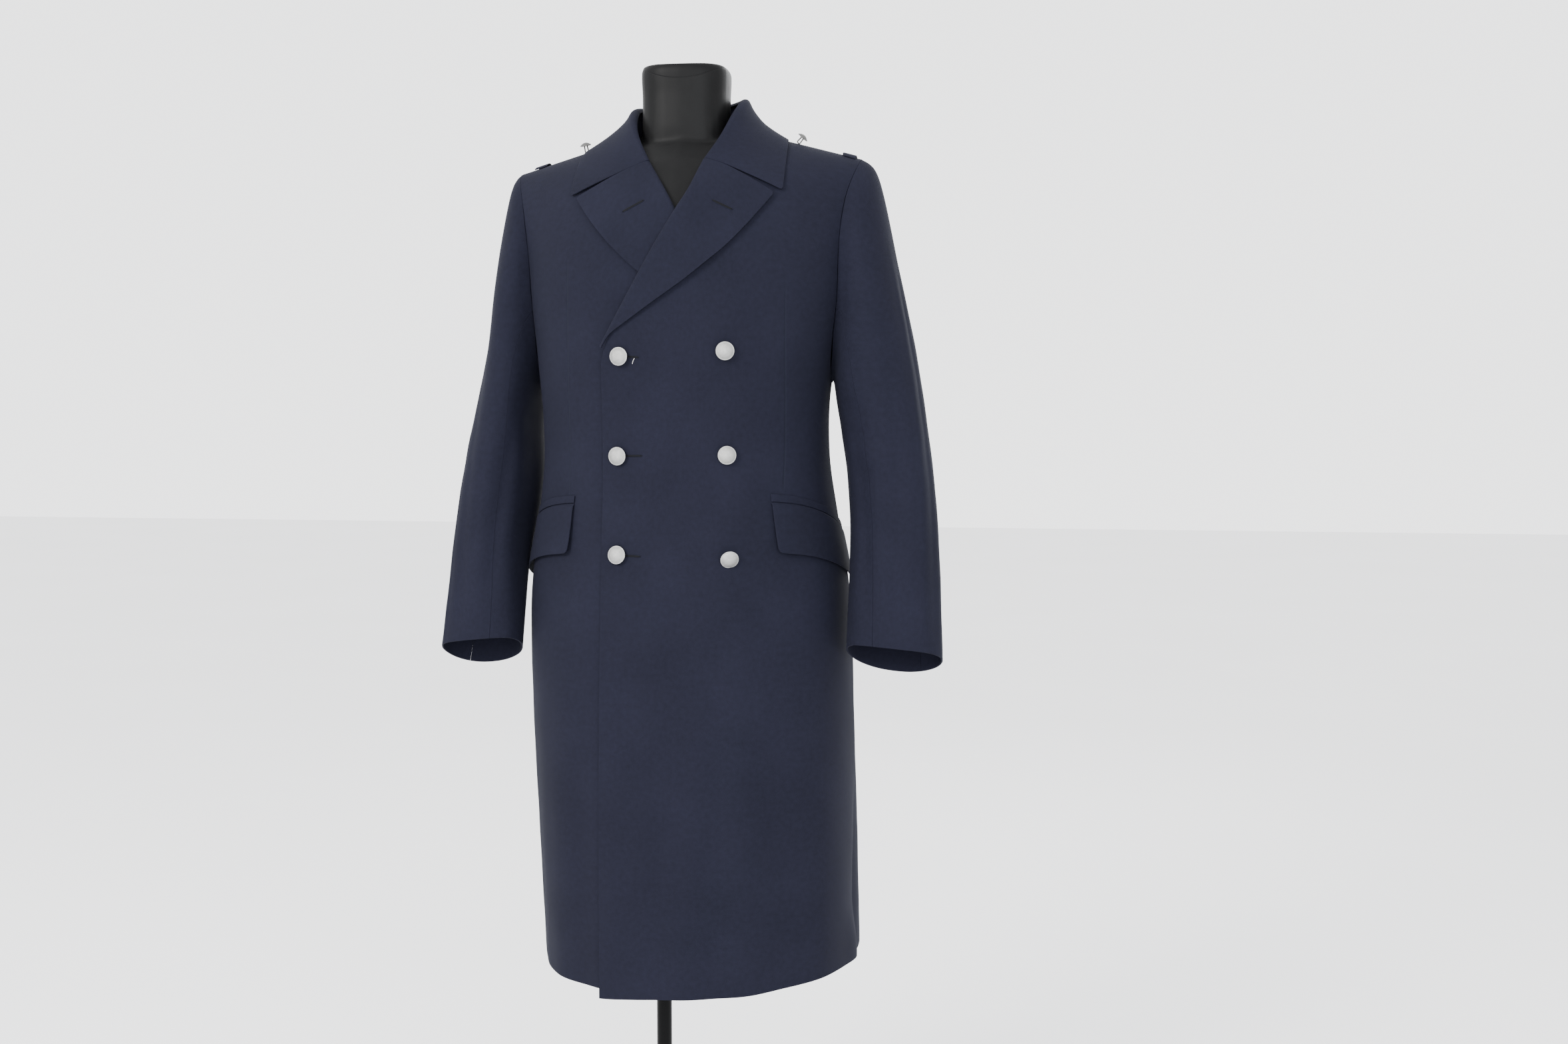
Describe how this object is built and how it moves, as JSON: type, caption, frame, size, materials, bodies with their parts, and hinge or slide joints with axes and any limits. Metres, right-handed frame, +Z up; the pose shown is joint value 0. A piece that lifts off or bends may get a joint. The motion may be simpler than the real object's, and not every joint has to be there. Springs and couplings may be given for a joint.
{
  "type": "greatcoat on a dress form",
  "caption": "Double-breasted greatcoat with peaked lapels, flapped pockets and silver metal buttons, on a limbless dress form with a pole stand.",
  "frame": {"origin": "centre of the stand base's underside", "axes": "+Z up, the coat's front towards -Y, the wearer's left towards +X"},
  "size_m": [0.6476, 0.3772, 1.5455],
  "materials": {
    "coat_cloth": "fine navy wool twill with a soft dull nap",
    "button_metal": "matt silver, finely pebbled domes with a plain rim",
    "form_cover": "smooth black stretch cover",
    "stand_paint": "satin black paint"
  },
  "bodies": {
    "root": {"left_front": "coat_cloth", "right_front": "coat_cloth", "left_back": "coat_cloth", "right_back": "coat_cloth", "left_lapel": "coat_cloth", "right_lapel": "coat_cloth", "left_top_sleeve": "coat_cloth", "left_under_sleeve": "coat_cloth", "right_top_sleeve": "coat_cloth", "right_under_sleeve": "coat_cloth", "left_pocket_flap": "coat_cloth", "right_pocket_flap": "coat_cloth", "left_pocket_welt": "coat_cloth", "right_pocket_welt": "coat_cloth", "left_shoulder_loop": "coat_cloth", "right_shoulder_loop": "coat_cloth", "collar_fall": "coat_cloth", "collar_stand": "coat_cloth", "button_right_top": "button_metal", "button_right_middle": "button_metal", "button_right_bottom": "button_metal", "button_left_top": "button_metal", "button_left_middle": "button_metal", "button_left_bottom": "button_metal", "shoulder_button_right": "button_metal", "shoulder_button_left": "button_metal", "dress_form": "form_cover", "stand_pole": "stand_paint", "stand_base": "stand_paint"}
  },
  "joints": []
}
